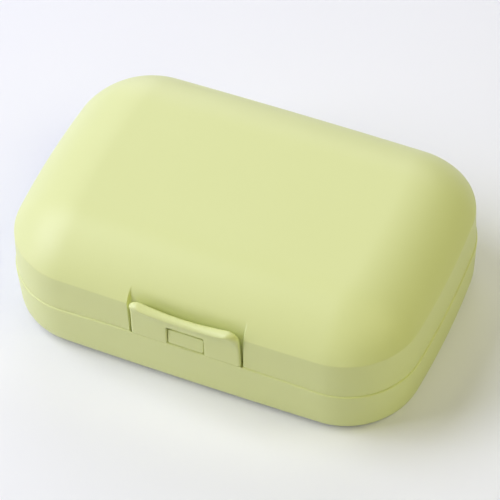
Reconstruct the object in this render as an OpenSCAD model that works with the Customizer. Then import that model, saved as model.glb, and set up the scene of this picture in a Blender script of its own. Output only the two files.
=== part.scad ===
// Travel soap box with a hinged lid, a flexing front latch and a lift-out drain tray.
// Origin at the centre of the underside, length along X, latch towards -Y, Z up.
// All sizes are in millimetres and all angles in degrees.

/* [Body] */
// Overall length of the two shells
body_l = 110; // [100:1:125]
// Overall width of the two shells, without latch and hinge
body_w = 75.2; // [70:0.2:85]
// Wall thickness of the two shells
wall = 1.8; // [1.6:0.1:2.0]
// Height of the base rim above the underside
part_z = 15; // [13.5:0.1:17]
// Gap that shows between the two rims
rim_gap = 0.2; // [0.1:0.05:0.3]
// Distance by which the base's rim stands proud of the lid's
rim_step = 0.15; // [0:0.05:0.2]
// Steps in a full turn of an upright corner
arc_steps = 72; // [48:8:96]

/* [Base] */
// Inward draft of the base wall between its rim and its bottom round
base_draft = 0.72; // [0.5:0.02:1]
// Radius of the outside bottom edge
foot_r = 4.2; // [3:0.1:4.6]
// Thickness of the floor
floor_t = 1.8; // [1.5:0.1:2.2]
// Radius between the floor and the wall, inside
floor_r = 2.2; // [1.5:0.1:2.5]
// Distance from the outside to the inner face of the thickened rim
rim_inset = 3.1; // [3:0.1:3.4]
// Depth of the thickened rim
rim_depth = 3; // [2.5:0.1:3.5]
// Height of the locating lip above the rim
lip_h = 2.5; // [1.5:0.1:3]
// Clearance between the locating lip and the skirt of the lid
lip_clear = 0.2; // [0.15:0.05:0.3]
// Chamfer on the upper edge of the locating lip
lip_chamfer = 0.5; // [0.3:0.1:0.6]

/* [Lid] */
// Height of the upright skirt, up to the soft crease
skirt_h = 10.5; // [9:0.1:12]
// Inward draft of the skirt over its height
skirt_draft = 0.66; // [0.3:0.02:1]
// Width of the soft shoulder seen from above
shoulder_w = 18.5; // [16:0.1:19]
// Height of the soft shoulder
shoulder_h = 10; // [8:0.1:12]
// Angle at which the shoulder leaves the crease, on its own ellipse
crease_a = 33; // [28:1:38]
// Radius of the flat top's corners, inside the shoulder
top_corner_r = 0.94; // [0.6:0.02:3]
// Straight steps along the shoulder
shoulder_steps = 10; // [8:1:14]

/* [Latch] */
// Half of the tab's width at its root
tab_half = 14.7; // [12:0.1:16]
// Height of the tab above the rim
tab_h = 14; // [12.5:0.1:14.5]
// Thickness of the tab above its root
tab_t = 1.3; // [1.2:0.05:1.4]
// Thickness of the tab's lip
tab_lip_t = 2.3; // [1.8:0.1:2.6]
// Distance by which the lip of the tab flares outward
tab_flare = 2.3; // [1:0.1:3]
// Height at which the flare starts
flare_from = 6.2; // [5:0.1:9]
// Narrowing of each side of the tab over its height
tab_draft = 0.2; // [0.1:0.05:0.8]
// Dip of the tab's upper edge in the middle
tab_dip = 1.1; // [0.5:0.1:1.5]
// Radius of the tab's upper corners
tab_corner_r = 2.5; // [1.5:0.1:4]
// Radius of the rounded root the tab flexes about
root_r = 0.65; // [0.6:0.01:0.68]
// Clearance round the root in the groove of the base
root_clear = 0.1; // [0.08:0.01:0.12]
// Distance of the flexing line behind the front face
root_in = 0.95; // [0.9:0.01:1]
// Distance by which the foot of the tab stands back from its face, to clear the rim
waist_in = 0.45; // [0.4:0.05:0.5]
// Height over which the foot of the tab widens to its full thickness
waist_h = 0.8; // [0.8:0.1:1.2]
// Half of the window's width
window_half = 4.95; // [4:0.05:6]
// Height of the window's lower edge above the rim
window_low = 0.7; // [0.7:0.05:1]
// Height of the window's upper edge above the rim
window_high = 6.7; // [6:0.1:7]
// Clearance between the catch and the window
catch_clear = 0.3; // [0.25:0.05:0.45]
// Distance of the catch's face behind the front face
catch_in = 0.25; // [0.1:0.05:0.4]
// Rise of the slanted underside that pushes the tab open
catch_lead = 0.3; // [0.2:0.1:0.8]
// Side clearance between the tab's root and its recess
recess_clear = 0.3; // [0.2:0.05:0.5]
// Depth of the recess in the lid
recess_d = 1.75; // [1.75:0.05:2]
// Wall thickness behind and beside the recess
recess_wall = 1.5; // [1.2:0.1:1.8]

/* [Hinge] */
// Distance of each hinge from the middle
hinge_x = 28; // [24:1:32]
// Distance of the hinge line behind the back face
hinge_out = 2.6; // [2.5:0.1:3]
// Outside radius of lugs and knuckles
knuckle_r = 2.2; // [2:0.1:2.3]
// Length of a lid knuckle
knuckle_l = 6; // [5:0.5:8]
// Length of each base lug
lug_l = 3; // [2.5:0.1:4]
// Gap between a knuckle and each lug
knuckle_gap = 0.3; // [0.2:0.05:0.5]
// Radius of the hinge pins
pin_r = 1; // [0.9:0.05:1.1]
// Clearance of a pin in its knuckle
pin_clear = 0.06; // [0.03:0.01:0.09]
// Interference of a pin in its lugs
pin_press = 0.02; // [0.01:0.01:0.03]

/* [Drain tray] */
// Distance from the outside of the base to the tray's edge
tray_inset = 3.7; // [3.6:0.1:4.5]
// Thickness of the tray's plate
tray_t = 1.6; // [1.2:0.1:2]
// Height of the feet below the plate
foot_h = 3; // [2:0.1:3.4]
// Radius of the feet
tray_foot_r = 3; // [2:0.1:4]
// Distance between neighbouring drain slots
slot_pitch = 8; // [7:0.5:10]
// Number of slots to each side of the middle one
slot_pairs = 4; // [2:1:4]
// Width of a drain slot
slot_w = 3.2; // [2:0.1:3.6]
// Length of a drain slot
slot_l = 22; // [16:1:24]
// Width of the bridge between the two rows of slots
bridge_w = 6; // [4:1:10]
// Width of a ridge that carries the soap
ridge_w = 1.6; // [1:0.1:2]
// Height of a ridge above the plate
ridge_h = 1.2; // [0.8:0.1:2]

/* [Hidden] */

shell_color = [0.82, 0.85, 0.58];
tray_color = [0.88, 0.9, 0.74];
pin_color = [0.72, 0.72, 0.74];

corner_r = top_corner_r + shoulder_w + skirt_draft;
half_l = body_l / 2;
half_w = body_w / 2;
arc_x = half_l - corner_r;
arc_y = half_w - corner_r;

lid_z = part_z + rim_gap;
crease_z = lid_z + skirt_h;
top_z = crease_z + shoulder_h;
run_a = shoulder_w / cos(crease_a);
rise_a = shoulder_h / (1 - sin(crease_a));

hinge_y = half_w + hinge_out;
pin_l = knuckle_l + 2 * knuckle_gap + 2 * lug_l;
recess_half = tab_half + recess_clear;
root_y = root_in - half_w;
flare_steps = 7;

// Inset of the base's outside at height z, above its bottom round.
function draft_at(z) = base_draft * (part_z - z) / (part_z - foot_r);

// Point [inset, z] on the shoulder's ellipse at angle t, moved inward by off along its normal.
function shoulder(t, off) =
    let (nx = rise_a * cos(t), nz = run_a * sin(t), n = norm([nx, nz]))
    [
        skirt_draft + run_a * (cos(crease_a) - cos(t)) + off * nx / n,
        crease_z + rise_a * (sin(t) - sin(crease_a)) - off * nz / n
    ];

// Angle of step i along the shoulder, from the crease to the flat top.
function shoulder_t(i) = crease_a + (90 - crease_a) * i / shoulder_steps;

// Share of the flare reached at height h above the rim, from 0 to 1.
function flare_at(h) = pow(max(0, (h - flare_from) / (tab_h - flare_from)), 2);

// Front face of the tab at height h, behind the front of the body.
function leaf_out(h) = (h == 0 ? waist_in : 0) - tab_flare * flare_at(h);

// Back face of the tab at height h, which flares less, so that the tab thickens to its lip.
function leaf_in(h) =
    (h == 0 ? 2 * root_in - waist_in : tab_t) - (tab_flare - tab_lip_t + tab_t) * flare_at(h);

// Half of the tab's width at height h.
function half_at(h) = tab_half - tab_draft * h / tab_h;

// Height at which the slope below the thickened rim meets the wall, inside.
slope_z = part_z - rim_depth - (rim_inset - wall);

base_outer = concat(
    [for (a = [0:15:90]) [base_draft + foot_r * (1 - sin(a)), foot_r * (1 - cos(a))]],
    [[0, part_z]]
);

lip_outer = [
    [wall + lip_clear, part_z - rim_depth / 2],
    [wall + lip_clear, part_z + lip_h - lip_chamfer],
    [wall + lip_clear + lip_chamfer, part_z + lip_h]
];

base_inner = concat(
    [
        for (a = [0:15:90])
            [
                wall + draft_at(floor_t + floor_r) + floor_r * (1 - sin(a)),
                floor_t + floor_r * (1 - cos(a))
            ]
    ],
    [
        [wall + draft_at(slope_z), slope_z],
        [rim_inset, part_z - rim_depth],
        [rim_inset, part_z + lip_h + 1]
    ]
);

lid_outer = concat([[rim_step, lid_z]], [for (i = [0:shoulder_steps]) shoulder(shoulder_t(i), 0)]);

lid_inner = concat(
    [[wall, lid_z - 1], [wall, lid_z]],
    [for (i = [0:shoulder_steps]) shoulder(shoulder_t(i), wall)]
);

// Heights of the points that draw the tab's side view, one step past its upper edge.
leaf_h = concat(
    [0, waist_h, flare_from],
    [for (i = [1:flare_steps + 1]) flare_from + (tab_h - flare_from) * i / flare_steps]
);

// Solid whose outside follows the path's [inset, z] points round the whole footprint.
module swept(path) {
    last = len(path) - 1;
    quarter = concat(
        [for (p = path) [corner_r - p[0], p[1]]],
        [[0, path[last][1]], [0, path[0][1]]]
    );
    across = concat(
        [for (p = path) [half_w - p[0], p[1]]],
        [for (i = [last:-1:0]) [path[i][0] - half_w, path[i][1]]]
    );
    translate([-arc_x, 0, 0])
        rotate([90, 0, 90])
            linear_extrude(2 * arc_x)
                polygon(across);
    for (turn = [0, 180])
        rotate([0, 0, turn])
            translate([arc_x, arc_y, 0])
                rotate([90, 0, 0])
                    linear_extrude(2 * arc_y)
                        polygon(quarter);
    for (k = [0:3])
        translate([(k == 0 || k == 3) ? arc_x : -arc_x, k < 2 ? arc_y : -arc_y, 0])
            rotate([0, 0, 90 * k])
                rotate_extrude(angle = 90, $fn = arc_steps)
                    polygon(quarter);
}

// Round bar along X, centred on x, at the given y and z.
module bar_x(x, y, z, r, l) {
    translate([x - l / 2, y, z])
        rotate([0, 90, 0])
            cylinder(r = r, h = l, $fn = 48);
}

// Box from one corner to the other.
module box(low, high) {
    translate(low)
        cube(high - low);
}

// Centre of each of the two lugs of the hinge at x.
function lug_x(x) = [
    for (side = [-1, 1]) x + side * (knuckle_l / 2 + knuckle_gap + lug_l / 2)
];

module base_shell() {
    color(shell_color)
        difference() {
            union() {
                difference() {
                    union() {
                        swept(base_outer);
                        swept(lip_outer);
                    }
                    swept(base_inner);
                }
                for (side = [-1, 1])
                    for (x = lug_x(side * hinge_x)) {
                        bar_x(x, hinge_y, part_z, knuckle_r, lug_l);
                        box(
                            [x - lug_l / 2, half_w - wall / 2, part_z - knuckle_r],
                            [x + lug_l / 2, hinge_y, part_z - 2 * rim_gap]
                        );
                    }
            }
            // The lip stops short of the recess wall of the lid.
            box(
                [-recess_half - recess_wall - 3 * lip_clear, -half_w - 1, part_z],
                [recess_half + recess_wall + 3 * lip_clear, rim_inset + 1 - half_w, part_z + lip_h + 1]
            );
            // Groove the root of the tab turns in.
            bar_x(0, root_y, part_z, root_r + root_clear, 2 * recess_half);
            for (side = [-1, 1])
                bar_x(side * hinge_x, hinge_y, part_z, pin_r - pin_press, pin_l + 2);
        }
}

module lid_shell() {
    color(shell_color)
        union() {
            difference() {
                union() {
                    difference() {
                        swept(lid_outer);
                        swept(lid_inner);
                    }
                    recess_walls();
                    for (side = [-1, 1]) {
                        bar_x(side * hinge_x, hinge_y, part_z, knuckle_r, knuckle_l);
                        box(
                            [side * hinge_x - knuckle_l / 2, half_w - wall / 2, lid_z],
                            [side * hinge_x + knuckle_l / 2, hinge_y, part_z + knuckle_r]
                        );
                    }
                }
                box(
                    [-recess_half, -half_w - 1, lid_z - 1],
                    [recess_half, recess_d - half_w, top_z]
                );
                for (side = [-1, 1])
                    bar_x(side * hinge_x, hinge_y, part_z, pin_r + pin_clear, knuckle_l + 2);
            }
            catch_block();
        }
}

// Solid block behind the recess, trimmed to the outside of the lid.
module recess_walls() {
    back = recess_d + recess_wall;
    across = concat([for (p = lid_outer) [p[0] - half_w, p[1]]], [[0, top_z], [0, lid_z]]);
    translate([-recess_half - recess_wall, 0, 0])
        rotate([90, 0, 90])
            linear_extrude(2 * (recess_half + recess_wall))
                intersection() {
                    polygon(across);
                    translate([-half_w - 1, lid_z])
                        square([back + 1, top_z - lid_z]);
                }
}

// Catch that fills the window of the tab, slanted below so that it pushes the tab aside.
module catch_block() {
    half = window_half - catch_clear;
    low = part_z + window_low + catch_clear;
    high = part_z + window_high - catch_clear;
    face = catch_in - half_w;
    root = recess_d - half_w + recess_wall / 3;
    translate([-half, 0, 0])
        rotate([90, 0, 90])
            linear_extrude(2 * half)
                polygon([[root, low], [face, low + catch_lead], [face, high], [root, high]]);
}

module latch_tab() {
    color(shell_color)
        difference() {
            union() {
                bar_x(0, root_y, part_z, root_r, 2 * tab_half);
                intersection() {
                    leaf_side();
                    leaf_front();
                }
            }
            box(
                [-window_half, -half_w - tab_flare, part_z + window_low],
                [window_half, recess_d - half_w, part_z + window_high]
            );
        }
}

// Side view of the tab, drawn along X: straight above the root, then flared outward.
module leaf_side() {
    outer = [for (h = leaf_h) [leaf_out(h) - half_w, part_z + h]];
    inner = [
        for (i = [len(leaf_h) - 1:-1:0])
            [leaf_in(leaf_h[i]) - half_w, part_z + leaf_h[i]]
    ];
    translate([-tab_half - 1, 0, 0])
        rotate([90, 0, 90])
            linear_extrude(2 * tab_half + 2)
                polygon(concat(outer, inner));
}

// Front view of the tab, drawn along Y: drafted sides, round upper corners, dipped upper edge.
module leaf_front() {
    cz = tab_h - tab_corner_r;
    cx = half_at(cz) - tab_corner_r;
    right = concat(
        [[tab_half, 0]],
        [for (a = [0:15:90]) [cx + tab_corner_r * cos(a), cz + tab_corner_r * sin(a)]]
    );
    dip = [for (u = [0.75, 0.5, 0.25, 0, -0.25, -0.5, -0.75]) [u * cx, tab_h - tab_dip * (1 - u * u)]];
    left = [for (i = [len(right) - 1:-1:0]) [-right[i][0], right[i][1]]];
    translate([0, recess_d - half_w, part_z])
        rotate([90, 0, 0])
            linear_extrude(recess_d + 2 * tab_flare)
                polygon(concat(right, dip, left));
}

module drain_tray() {
    low = floor_t + foot_h;
    high = low + tray_t;
    edge = tray_t / 4;
    color(tray_color)
        union() {
            difference() {
                swept([[tray_inset, low], [tray_inset, high - edge], [tray_inset + edge, high]]);
                for (i = [-slot_pairs:slot_pairs])
                    for (side = [-1, 1])
                        translate([i * slot_pitch, side * (bridge_w + slot_l) / 2, low + tray_t / 2])
                            cube([slot_w, slot_l, tray_t + 2], center = true);
            }
            for (i = [-slot_pairs:slot_pairs + 1])
                translate([(i - 0.5) * slot_pitch, 0, high + (ridge_h - edge) / 2])
                    cube([ridge_w, bridge_w + 2 * slot_l, ridge_h + edge], center = true);
            for (sx = [-1, 1])
                for (sy = [-1, 1])
                    translate([sx * arc_x, sy * arc_y, floor_t])
                        cylinder(r = tray_foot_r, h = foot_h + edge, $fn = 48);
        }
}

module hinge_pin_left() {
    color(pin_color)
        bar_x(-hinge_x, hinge_y, part_z, pin_r, pin_l);
}

module hinge_pin_right() {
    color(pin_color)
        bar_x(hinge_x, hinge_y, part_z, pin_r, pin_l);
}

base_shell();
lid_shell();
latch_tab();
drain_tray();
hinge_pin_left();
hinge_pin_right();
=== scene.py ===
# %% [markdown]
# # A travel soap box in lime-green plastic
#
# The real object is a small moulded box: a base and a lid joined by a hinge at the back,
# and closed at the front by a springy tab that hooks over a catch on the lid.
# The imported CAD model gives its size, its bodies and its joints. This file dresses it:
# every shell is made again as a fine surface with soft edges, and gets its plastic.
# Shapes are worked out in millimetres, the CAD model's own sizes, and stored in metres.

import bpy
import bmesh
import numpy as np
from mathutils import Matrix, Vector


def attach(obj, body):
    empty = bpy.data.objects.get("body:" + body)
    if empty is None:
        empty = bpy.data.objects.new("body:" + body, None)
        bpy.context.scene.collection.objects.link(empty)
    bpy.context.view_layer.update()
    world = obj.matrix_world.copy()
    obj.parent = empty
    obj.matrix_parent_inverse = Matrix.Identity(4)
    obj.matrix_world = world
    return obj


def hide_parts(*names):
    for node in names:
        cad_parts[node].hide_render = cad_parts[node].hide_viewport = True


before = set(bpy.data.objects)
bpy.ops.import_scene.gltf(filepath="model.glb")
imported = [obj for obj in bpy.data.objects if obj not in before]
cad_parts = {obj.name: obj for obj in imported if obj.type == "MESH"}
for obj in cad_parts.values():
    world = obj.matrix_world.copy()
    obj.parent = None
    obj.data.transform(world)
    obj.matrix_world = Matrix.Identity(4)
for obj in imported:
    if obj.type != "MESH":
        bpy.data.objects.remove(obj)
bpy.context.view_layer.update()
MM = 0.001

# %% [markdown]
# ## The camera
#
# The box was photographed from its right front corner, from well above, with a long lens.
# Such a view is best rebuilt as a position and three axes: where the camera stands,
# which way its picture runs to the right, and which way it runs up.
# The third axis points back at the viewer, and together they make a rotation matrix.

# %% Place the camera
CAMERA_AT = Vector((0.2030605, -0.4263146, 0.5642979))
PICTURE_RIGHT = Vector((0.917425, 0.396808, -0.029564))
PICTURE_UP = Vector((-0.28413, 0.705302, 0.649476))
SENSOR = 36.0
LENS = 206.45


def axes_matrix(right, up, place):
    """A 4x4 matrix whose columns are the right, up and backward axes and the place."""
    right = right.normalized()
    up = (up - right * up.dot(right)).normalized()
    back = right.cross(up)
    return Matrix.Translation(place) @ Matrix((right, up, back)).transposed().to_4x4()


camera_data = bpy.data.cameras.new("camera")
camera_data.sensor_width = SENSOR
camera_data.lens = LENS
camera_data.clip_start = 0.02
camera_data.clip_end = 20
camera = bpy.data.objects.new("camera", camera_data)
bpy.context.scene.collection.objects.link(camera)
camera.matrix_world = axes_matrix(PICTURE_RIGHT, PICTURE_UP, CAMERA_AT)
bpy.context.scene.camera = camera
print("camera stands", round(camera.location.length, 3), "m from the origin")

# %% [markdown]
# ## From a grid of points to a mesh
#
# Every new piece is a function of two parameters, worked out as one array of points with
# the shape (u, v, 3). Neighbours in the array become four-cornered faces.
# A direction that comes back to its start is wrapped. The sign of the enclosed volume
# tells whether the faces look outward, so a grid that is inside out is simply reversed.

# %% Turn grids into one object
WELD = 0.002


def grid_faces(nu, nv, wrap_u, wrap_v):
    """Index quads (i,j) (i+1,j) (i+1,j+1) (i,j+1) of a grid, wrapped where asked."""
    i = np.arange(nu if wrap_u else nu - 1)[:, None]
    j = np.arange(nv if wrap_v else nv - 1)[None, :]
    i2, j2 = (i + 1) % nu, (j + 1) % nv
    quads = np.stack([i * nv + j, i2 * nv + j, i2 * nv + j2, i * nv + j2], axis=-1)
    return quads.reshape(-1, 4)


def outward(points, quads):
    """Quads reversed where the volume, the sum of a.(b x c) / 6 over triangles, is below zero."""
    a, b, c, d = (points[quads[:, k]] for k in range(4))
    volume = np.einsum("ij,ij->i", a, np.cross(b, c)).sum()
    volume += np.einsum("ij,ij->i", a, np.cross(c, d)).sum()
    return quads[:, ::-1] if volume < 0 else quads


def make_piece(name, grids):
    """One smooth mesh object from grids [(points in mm, wrap_u, wrap_v), ...], welded."""
    places, faces, start = [], [], 0
    for points, wrap_u, wrap_v in grids:
        flat = points.reshape(-1, 3)
        quads = outward(flat, grid_faces(points.shape[0], points.shape[1], wrap_u, wrap_v))
        places.append(flat * MM)
        faces.append(quads + start)
        start += len(flat)
    places = np.concatenate(places)
    faces = np.concatenate(faces)
    mesh = bpy.data.meshes.new(name)
    mesh.vertices.add(len(places))
    mesh.vertices.foreach_set("co", places.astype(np.float32).ravel())
    mesh.loops.add(faces.size)
    mesh.loops.foreach_set("vertex_index", faces.astype(np.int32).ravel())
    mesh.polygons.add(len(faces))
    mesh.polygons.foreach_set("loop_start", np.arange(0, faces.size, 4, dtype=np.int32))
    mesh.update(calc_edges=True)
    weld = bmesh.new()
    weld.from_mesh(mesh)
    bmesh.ops.remove_doubles(weld, verts=weld.verts, dist=WELD * MM)
    bmesh.ops.dissolve_degenerate(weld, edges=weld.edges, dist=WELD / 2 * MM)
    open_edges = sum(1 for edge in weld.edges if not edge.is_manifold)
    weld.to_mesh(mesh)
    weld.free()
    mesh.polygons.foreach_set("use_smooth", np.ones(len(mesh.polygons), bool))
    piece = bpy.data.objects.new(name, mesh)
    bpy.context.scene.collection.objects.link(piece)
    print(name, len(mesh.polygons), "faces, open edges:", open_edges)
    return piece


print("a grid of 4 by 3 points, wrapped once, has", len(grid_faces(4, 3, True, False)), "faces")

# %% [markdown]
# ## The footprint
#
# Seen from above, the box is eight arcs that meet smoothly: four corners and four sides
# so flat that they look straight. They swell outward by a fraction of a millimetre, which
# is what makes the highlights run. A curve at distance d inside the footprint has the same
# centres and radii that are d smaller, so one list of centres, radii and directions serves
# every height of both shells. The front needs close columns where the latch recess has
# its side walls, outside and inside.

# %% Work out the footprint
# Half length and width, radius of the upright corners, and how far the sides swell.
HALF_L = 55.0
HALF_W = 37.6
CORNER_R = 20.1
BOW_LONG = 0.27
BOW_SHORT = 0.63
# Half the width of the latch recess.
RECESS_HALF = 15.0


def footprint(side_x, n_corner=26, n_short=20):
    """Centres, radii and normal angles of the eight arcs, anticlockwise from the middle of +X.

    A side's radius follows from its chord and its swell. The long sides have a column at
    each x in side_x.
    """
    cx, cy = HALF_L - CORNER_R - BOW_SHORT, HALF_W - CORNER_R - BOW_LONG
    r_long = (cx**2 + (HALF_W - cy) ** 2 - CORNER_R**2) / (2 * BOW_LONG)
    r_short = (cy**2 + (HALF_L - cx) ** 2 - CORNER_R**2) / (2 * BOW_SHORT)
    t_long = np.arctan2(cx, cy + r_long - HALF_W)
    t_short = np.arctan2(cy, cx + r_short - HALF_L)
    side = np.arcsin(side_x / r_long)
    side = side[np.abs(side) < t_long - 1e-4]
    short = np.linspace(-t_short, t_short, n_short, endpoint=False)[1:]
    corner = np.linspace(t_short, np.pi / 2 - t_long, n_corner)
    arcs = [
        (short[short >= 0], (HALF_L - r_short, 0), r_short),
        (corner, (cx, cy), CORNER_R),
        (np.pi / 2 + side, (0, HALF_W - r_long), r_long),
        (np.pi - corner[::-1], (-cx, cy), CORNER_R),
        (np.pi + short, (r_short - HALF_L, 0), r_short),
        (np.pi + corner, (-cx, -cy), CORNER_R),
        (1.5 * np.pi + side, (0, r_long - HALF_W), r_long),
        (2 * np.pi - corner[::-1], (cx, -cy), CORNER_R),
        (2 * np.pi + short[short < 0], (HALF_L - r_short, 0), r_short),
    ]
    angle = np.concatenate([a for a, _, _ in arcs])
    centre = np.concatenate([np.tile(c, (len(a), 1)) for a, c, _ in arcs])
    radius = np.concatenate([np.full(len(a), r) for a, _, r in arcs])
    return centre, radius, angle


coarse = np.linspace(-34, 34, 57)
at_walls = RECESS_HALF + np.concatenate([np.linspace(-0.6, 0.7, 27), np.linspace(1.0, 3.2, 12)])
side_columns = np.unique(np.round(np.concatenate([coarse, at_walls, -at_walls]), 4))
CENTRE, RADIUS, ANGLE = footprint(side_columns)
print("columns round the footprint:", len(ANGLE))

# %% [markdown]
# ## Carrying a profile round the footprint
#
# A shell is a profile of insets and heights, carried round the footprint like a cutter
# along a fence. What is left open, the top or the floor, is closed by shrinking its ring
# onto the middle line, which keeps the faces even and leaves no hole.

# %% Carry and close


def carried(path):
    """Grid of the path's (inset, z) points, carried round the footprint.

    Each point is the arc's centre plus (radius - inset) times the arc's normal.
    """
    path = np.asarray(path, float)
    normal = np.stack([np.cos(ANGLE), np.sin(ANGLE)], axis=-1)
    reach = RADIUS[:, None] - path[None, :, 0]
    flat = CENTRE[:, None, :] + reach[..., None] * normal[:, None, :]
    height = np.broadcast_to(path[None, :, 1], reach.shape)
    return np.concatenate([flat, height[..., None]], axis=-1)


def to_spine(ring, rows):
    """Rows that shrink a ring (u, 3) onto the middle line y = 0, to close a flat top or floor."""
    target = ring.copy()
    target[:, 0] = np.clip(ring[:, 0], -HALF_L + HALF_W, HALF_L - HALF_W)
    target[:, 1] = 0
    share = np.linspace(0, 1, rows + 1)[1:]
    return ring[:, None, :] + share[None, :, None] * (target - ring)[:, None, :]


def closed(skin, rows_before, rows_after):
    """The skin with its first and last ring both drawn onto the middle line."""
    before = to_spine(skin[:, 0], rows_before)[:, ::-1]
    return np.concatenate([before, skin, to_spine(skin[:, -1], rows_after)], axis=1)


outline = carried([[0, 0]])[:, 0]
print("outline in mm:", np.ptp(outline[:, 0]).round(2), "by", np.ptp(outline[:, 1]).round(2))

# %% [markdown]
# ## The arched rim
#
# From the front, the line between base and lid isn't quite level: it is highest behind
# the latch and sinks towards the corners. Every piece near that line is bent by the same
# function of its place, so base, lid, latch and catch still fit each other afterwards.

# %% Bend the front rim
# Height of the parting line, its lift in the middle, and how far, from where and over
# what width that lift falls again.
PART_Z = 15.0
ARCH = 0.7
ARCH_FALL = 1.2
ARCH_FLAT = 14.0
ARCH_RUN = 32.0
ARCH_FADE = 11.0


def smooth_step(x):
    """0 below 0, 1 above 1, and 3x^2 - 2x^3 between."""
    x = np.clip(x, 0, 1)
    return x * x * (3 - 2 * x)


def arched(points):
    """Lifts the front by ARCH where |x| < ARCH_FLAT, and less over ARCH_RUN beyond it.

    The lift is in proportion to -y in front, is nothing behind, and fades out over
    ARCH_FADE above and below the parting line.
    """
    x, y, z = points[..., 0], points[..., 1], points[..., 2]
    lift = ARCH - ARCH_FALL * smooth_step((np.abs(x) - ARCH_FLAT) / ARCH_RUN)
    lift = lift * np.clip(-y / HALF_W, 0, 1)
    moved = points.copy()
    moved[..., 2] = z + lift * smooth_step(1 - np.abs(z - PART_Z) / ARCH_FADE)
    return moved


middle_front = np.array([0, -HALF_W, PART_Z])
print("rim in the middle of the front, in mm:", arched(middle_front)[2])

# %% [markdown]
# ## Profiles with soft edges
#
# A moulded edge is never sharp: it has a radius of a few tenths of a millimetre, and that
# radius is what catches the light along the rims. Here each profile is a short list of
# corners with a radius each, and every corner is replaced by a run of points on its arc.

# %% Round the corners of a profile
NEARLY_STRAIGHT = np.radians(89.5)
SIDE_SHARE = 0.49


def rounded(corners, steps=5):
    """Path through corners (inset, z, radius), with each inner one an arc tangent to both sides.

    The arc starts radius / tan(half the angle) before the corner, and never takes more
    than SIDE_SHARE of a side.
    """
    corners = np.asarray(corners, float)
    out = [corners[0, :2]]
    for before, here, after in zip(corners[:-2], corners[1:-1], corners[2:]):
        a, b = before[:2] - here[:2], after[:2] - here[:2]
        la, lb = np.linalg.norm(a), np.linalg.norm(b)
        a, b = a / la, b / lb
        half = np.arccos(np.clip(a @ b, -1, 1)) / 2
        if here[2] <= 0 or half > NEARLY_STRAIGHT:
            out.append(here[:2])
            continue
        reach = min(here[2] / np.tan(half), SIDE_SHARE * la, SIDE_SHARE * lb)
        r = reach * np.tan(half)
        middle = here[:2] + (a + b) / np.linalg.norm(a + b) * r / np.sin(half)
        p, q = here[:2] + a * reach - middle, here[:2] + b * reach - middle
        turn = np.arctan2(p[0] * q[1] - p[1] * q[0], p @ q)
        t = np.linspace(0, turn, steps + 1)
        spin = [np.cos(t) * p[0] - np.sin(t) * p[1], np.sin(t) * p[0] + np.cos(t) * p[1]]
        out.extend(middle + np.stack(spin, axis=-1))
    out.append(corners[-1, :2])
    return np.array(out)


def filled(path, longest):
    """The same path with extra points, so that no step is longer than the given length."""
    out = [path[:1]]
    for a, b in zip(path[:-1], path[1:]):
        n = max(1, int(np.ceil(np.linalg.norm(b - a) / longest)))
        out.append(a + (b - a) * (np.arange(1, n + 1) / n)[:, None])
    return np.concatenate(out)


print("a rounded right angle has", len(rounded([(0, 0, 0), (2, 0, 0.5), (2, 2, 0)])), "points")

# %% [markdown]
# ## The lid's profile
#
# The lid is one closed skin: flat top, soft shoulder, crease, skirt, rim, and back up the
# inside to the ceiling. The shoulder is a stretch of an ellipse that is level where it
# meets the top, and stops at the crease's angle. Its inner side is the same ellipse moved
# inward by the wall, so the shoulder is equally thick all the way.

# %% Draw the lid's profile
# The wall, and the rim, which stands back from the base's outline and slopes up to LID_Z.
WALL = 1.8
LID_Z = PART_Z + 0.2
RIM_STEP = 0.34
RIM_SLOPE = 0.7
# Skirt, crease and shoulder: heights, widths, and the ellipse's angle at the crease.
SKIRT_H = 10.5
SKIRT_DRAFT = 0.66
CREASE_Z = LID_Z + SKIRT_H
CREASE_A = np.radians(33.0)
CREASE_R = 1.5
SHOULDER_W = 18.5
SHOULDER_H = 10.0


def shoulder(t, inward=0.0):
    """Ellipse of the lid's shoulder at angle t, moved inward along its normal: (inset, z)."""
    run = SHOULDER_W / np.cos(CREASE_A)
    rise = SHOULDER_H / (1 - np.sin(CREASE_A))
    nx, nz = rise * np.cos(t), run * np.sin(t)
    n = np.hypot(nx, nz)
    inset = SKIRT_DRAFT + run * (np.cos(CREASE_A) - np.cos(t)) + inward * nx / n
    z = CREASE_Z + rise * (np.sin(t) - np.sin(CREASE_A)) - inward * nz / n
    return np.stack([inset, z], axis=-1)


def lid_profile():
    """(inset, z) from the edge of the flat top round the rim to the edge of the ceiling."""
    outside = shoulder(np.linspace(np.pi / 2, CREASE_A, 44))
    inside = shoulder(np.linspace(CREASE_A + 0.05, np.pi / 2, 20), WALL)
    edge = rounded(
        [
            (*outside[-2], 0),
            (SKIRT_DRAFT, CREASE_Z, CREASE_R),
            (RIM_STEP, PART_Z, 0.06),
            (RIM_STEP + RIM_SLOPE, LID_Z, 0.2),
            (WALL, LID_Z, 0.3),
            (*inside[0], 0),
        ]
    )
    return np.concatenate([outside[:-1], filled(edge, 0.9)[1:], inside[1:]])


lid_path = lid_profile()
print("the lid's profile has", len(lid_path), "points over", np.ptp(lid_path[:, 1]).round(2), "mm")

# %% [markdown]
# ## The lid and its recess
#
# The latch recess is pressed into the lid's skin. Each point in front of the recess's back
# plane moves back to it, and a soft maximum lets the plane run out on the shoulder as the
# scooped moulding does. A mask in x gives it its side walls. The inside of the lid is
# pressed in too, one wall further back and to the sides, so the recess has walls of its own.

# %% Shape the lid
# The recess's height, depth and wall, its play at the foot, and how much wider it is at
# the top. Its side walls are as soft as the two edge widths say.
RECESS_H = 14.0
RECESS_D = 1.75
RECESS_WALL = 1.5
RECESS_PLAY = 0.05
RECESS_TAPER = 0.35
RECESS_EDGE = 0.28
RECESS_EDGE_INSIDE = 0.15
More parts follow.
